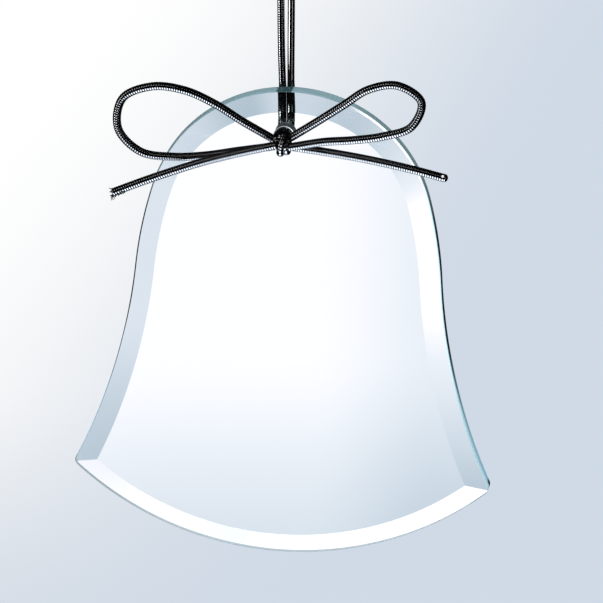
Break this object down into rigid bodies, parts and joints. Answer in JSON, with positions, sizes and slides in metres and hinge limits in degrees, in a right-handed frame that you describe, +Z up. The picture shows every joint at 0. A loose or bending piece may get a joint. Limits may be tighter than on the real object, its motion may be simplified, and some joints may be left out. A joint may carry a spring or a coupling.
{
  "type": "glass bell ornament",
  "caption": "Flat bevelled clear glass bell that hangs from a metallic cord tied in a bow through a hole near its top.",
  "frame": {"origin": "inside of the top of the cord's loop, where a hook or nail holds it", "axes": "+Z up, -Y towards the glass's bevelled front face and the bow, +X to the right of someone who looks at that face"},
  "size_m": [0.0896, 0.0197, 0.1448],
  "materials": {
    "glass": "clear, polished, with a ground bevel and a sea-green edge",
    "cord": "dark silver metallic wrap with fine cross ribs"
  },
  "bodies": {
    "hook_loop": {"loop_crown": "cord"},
    "strands_upper": {"strand_left_upper": "cord", "strand_right_upper": "cord"},
    "strands_middle": {"strand_left_middle": "cord", "strand_right_middle": "cord"},
    "strands_lower": {"strand_left_lower": "cord", "strand_right_lower": "cord", "bow_knot": "cord"},
    "bell": {"glass_bell": "glass"},
    "bow_left": {"bow_loop_left": "cord"},
    "bow_right": {"bow_loop_right": "cord"},
    "end_left": {"tail_left": "cord"},
    "end_right": {"tail_right": "cord"}
  },
  "joints": [
    {"name": "side_swing", "type": "hinge", "parent": "hook_loop", "child": "strands_upper", "pos_m": [0, 0, -0.01445], "axis": [0, 1, 0], "range_deg": [-25, 25]},
    {"name": "front_swing", "type": "hinge", "parent": "strands_upper", "child": "strands_middle", "pos_m": [0, 0, -0.01735], "axis": [1, 0, 0], "range_deg": [-30, 30]},
    {"name": "cord_twist", "type": "hinge", "parent": "strands_middle", "child": "strands_lower", "pos_m": [0, 0, -0.02055], "axis": [0, 0, 1], "range_deg": [-180, 180], "stiffness_Nm_per_rad": 0.00005},
    {"name": "glass_rock", "type": "hinge", "parent": "strands_lower", "child": "bell", "pos_m": [0.00038, -0.00399, -0.04993], "axis": [0, 0.9965, 0.0837], "range_deg": [-10, 10]},
    {"name": "left_loop_bend", "type": "hinge", "parent": "strands_lower", "child": "bow_left", "pos_m": [0.0006, -0.0095, -0.05075], "axis": [0, 1, 0], "range_deg": [-8, 8], "stiffness_Nm_per_rad": 0.004},
    {"name": "right_loop_bend", "type": "hinge", "parent": "strands_lower", "child": "bow_right", "pos_m": [0.0006, -0.0095, -0.05075], "axis": [0, 1, 0], "range_deg": [-8, 8], "stiffness_Nm_per_rad": 0.004},
    {"name": "left_tail_bend", "type": "hinge", "parent": "strands_lower", "child": "end_left", "pos_m": [0.0006, -0.0095, -0.05075], "axis": [0, 1, 0], "range_deg": [-10, 10], "stiffness_Nm_per_rad": 0.004},
    {"name": "right_tail_bend", "type": "hinge", "parent": "strands_lower", "child": "end_right", "pos_m": [0.0006, -0.0095, -0.05075], "axis": [0, 1, 0], "range_deg": [-10, 10], "stiffness_Nm_per_rad": 0.004}
  ]
}
